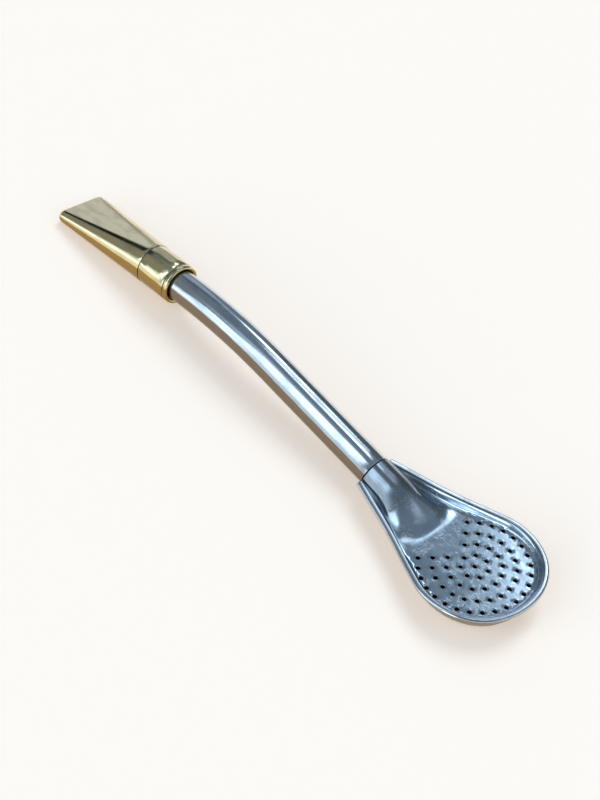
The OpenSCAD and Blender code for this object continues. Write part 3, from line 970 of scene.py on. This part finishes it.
# %% Floor
floor_mesh = bpy.data.meshes.new("floor")
floor_half = 4.0
floor_corners = [(x * floor_half, y * floor_half, 0) for x, y in ((-1, -1), (1, -1), (1, 1), (-1, 1))]
floor_mesh.from_pydata(floor_corners, [], [(0, 1, 2, 3)])
floor = bpy.data.objects.new("floor", floor_mesh)
bpy.context.collection.objects.link(floor)
paper, board, shader = material_board("pale_floor")
rays = board.node("ShaderNodeLightPath", output="Is Camera Ray")
seen = rays + rays.other("Is Glossy Ray") + rays.other("Is Transmission Ray")
unlit, lift = (0, 0, 0, 1), (0.44, 0.361, 0.286, 1)
board.maths("MINIMUM", seen, 1.0).mix(unlit, lift).feed(shader.inputs["Emission Color"])
shader.inputs["Emission Strength"].default_value = 1.0
shader.inputs["Base Color"].default_value = (0.96, 0.94, 0.90, 1)
shader.inputs["Roughness"].default_value = 0.9
shader.inputs["Specular IOR Level"].default_value = 0.1
floor_mesh.materials.append(paper)
print("floor ready")

# %% [markdown]
# The world is a room that the metal mirrors: a grey-blue dome, a tall window on the straw's near
# side, a smaller one beside it, a skylight behind, a pale far wall, a dark beam, and a dim window
# past the spoon that only the other sides mirror. Each is a soft-edged patch of the sky, placed
# by its direction and its height above the horizon. An image of a room would do this too, but
# named patches can be moved one at a time until the metal mirrors them as it does on the table.

# %% Room
world = bpy.data.worlds.new("room")
bpy.context.scene.world = world
world.use_nodes = True
room = Wire(world.node_tree)
ray = room.node("ShaderNodeTexCoord", output="Generated")


def lean_to(way):
    return room.node("ShaderNodeVectorMath", {"operation": "DOT_PRODUCT"}, {0: ray, 1: way}, output="Value")


def patch(azimuth, elevation, wide, high, soft):
    """A soft-edged rectangle of the sky, in degrees."""
    a = math.radians(azimuth)
    ahead, left = lean_to((math.cos(a), math.sin(a), 0)), lean_to((-math.sin(a), math.cos(a), 0))
    turn = room.maths("ABSOLUTE", room.maths("ARCTAN2", left, ahead))
    climb = room.maths("ABSOLUTE", room.maths("ARCSINE", lean_to((0, 0, 1))) - math.radians(elevation))
    w, h, s = (math.radians(v) for v in (wide / 2, high / 2, soft))
    return turn.step(w - s, w + s, 1.0, 0.0) * climb.step(h - s, h + s, 1.0, 0.0)


# Azimuth, elevation, width, height and soft edge in degrees, and a colour; later ones lie over earlier ones.
patches = {
    "far wall": (141, 6, 28, 60, 4, (0.40, 0.45, 0.54, 1)),
    "strip of daylight on it": (150, 14, 14, 28, 4, (0.62, 0.69, 0.86, 1)),
    "dark corner": (94, 10, 36, 80, 4, (0.11, 0.135, 0.155, 1)),
    "near wall": (-152, 34, 30, 30, 8, (0.26, 0.265, 0.25, 1)),
    "shadow on the far wall": (150, 41, 18, 9, 3, (0.11, 0.13, 0.15, 1)),
    "dark beam": (172, 34, 24, 13, 2, (0.01, 0.01, 0.01, 1)),
    "tall window": (-116, 15, 30, 42, 2, (1.55, 1.8, 2.05, 1)),
    "its sunlit sill": (-134, -5, 10, 20, 2, (3.0, 3.2, 3.4, 1)),
    "its bar": (-117, 18, 30, 7, 2, (1.1, 1.3, 1.5, 1)),
    "its shaded foot": (-107, 4, 14, 22, 4, (0.75, 0.88, 1.0, 1)),
    "its upper pane": (-112, 50, 24, 30, 4, (1.6, 1.9, 2.2, 1)),
    "blind beside it": (-134, 56, 20, 30, 7, (0.45, 0.55, 0.65, 1)),
    "small window": (-82, 9, 20, 34, 3, (2.6, 3.0, 3.4, 1)),
    "skylight": (118, 53, 13, 32, 2, (1.1, 1.3, 1.5, 1)),
    "its sunlit edge": (118, 44, 17, 11, 2, (2.4, 2.8, 3.2, 1)),
    "lamp overhead": (126, 72, 26, 12, 6, (2.4, 2.7, 3.0, 1)),
    "dim window past the spoon": (20, 30, 60, 40, 8, (0.60, 0.68, 0.78, 1)),
}
colour = (0.19, 0.235, 0.285, 1)
for *place, shade in patches.values():
    colour = patch(*place).mix(colour, shade)
background = world.node_tree.nodes["Background"]
colour.feed(background.inputs["Color"])
background.inputs["Strength"].default_value = 1.0
print(f"room of {len(patches)} patches")

# %% [markdown]
# The windows alone would leave hardly any shadow, so one broad sun stands behind the straw, on
# the skylight's side, and throws the soft shadow to the front. The metal mirrors the windows
# only, so the sun is kept out of its reflections.

# %% Sun
sun_data = bpy.data.lights.new("sun", "SUN")
sun_data.energy = 0.7
sun_data.angle = math.radians(32)
sun_data.color = (0.93, 0.97, 1.0)
sun = bpy.data.objects.new("sun", sun_data)
bpy.context.collection.objects.link(sun)
sun_azimuth, sun_height = math.radians(104), math.radians(56)
sun_level = Vector((math.cos(sun_azimuth), math.sin(sun_azimuth), 0))
to_sun = sun_level * math.cos(sun_height) + Vector((0, 0, math.sin(sun_height)))
sun.rotation_euler = to_sun.to_track_quat("Z", "Y").to_euler()
sun.visible_glossy = False
print("sun towards", [round(c, 2) for c in to_sun])

# %% [markdown]
# The camera stands where the photograph was taken: above and in front of the straw, a little
# to the spoon's side, with a long lens. Its place is measured from the middle of the holes, and
# its turn is given by the ways that are right and up in the picture.

# %% Camera
camera_data = bpy.data.cameras.new("camera")
camera_data.lens = 90
camera_data.sensor_width = 36
camera = bpy.data.objects.new("camera", camera_data)
bpy.context.collection.objects.link(camera)
right = Vector((0.6722, 0.7307, 0.1197))
upward = Vector((-0.6249, 0.4730, 0.6211))
back = right.cross(upward)
holes_middle = Vector((spoon_x - pattern_back, 0, 4.97))
camera_at = (holes_middle + Vector((128.26, -231.32, 365.10))) * MM
camera.matrix_world = Matrix.Translation(camera_at) @ Matrix((right, upward, back)).transposed().to_4x4()
bpy.context.scene.camera = camera
bpy.context.scene.view_settings.view_transform = "Standard"
print("camera at", [round(c, 3) for c in camera_at])
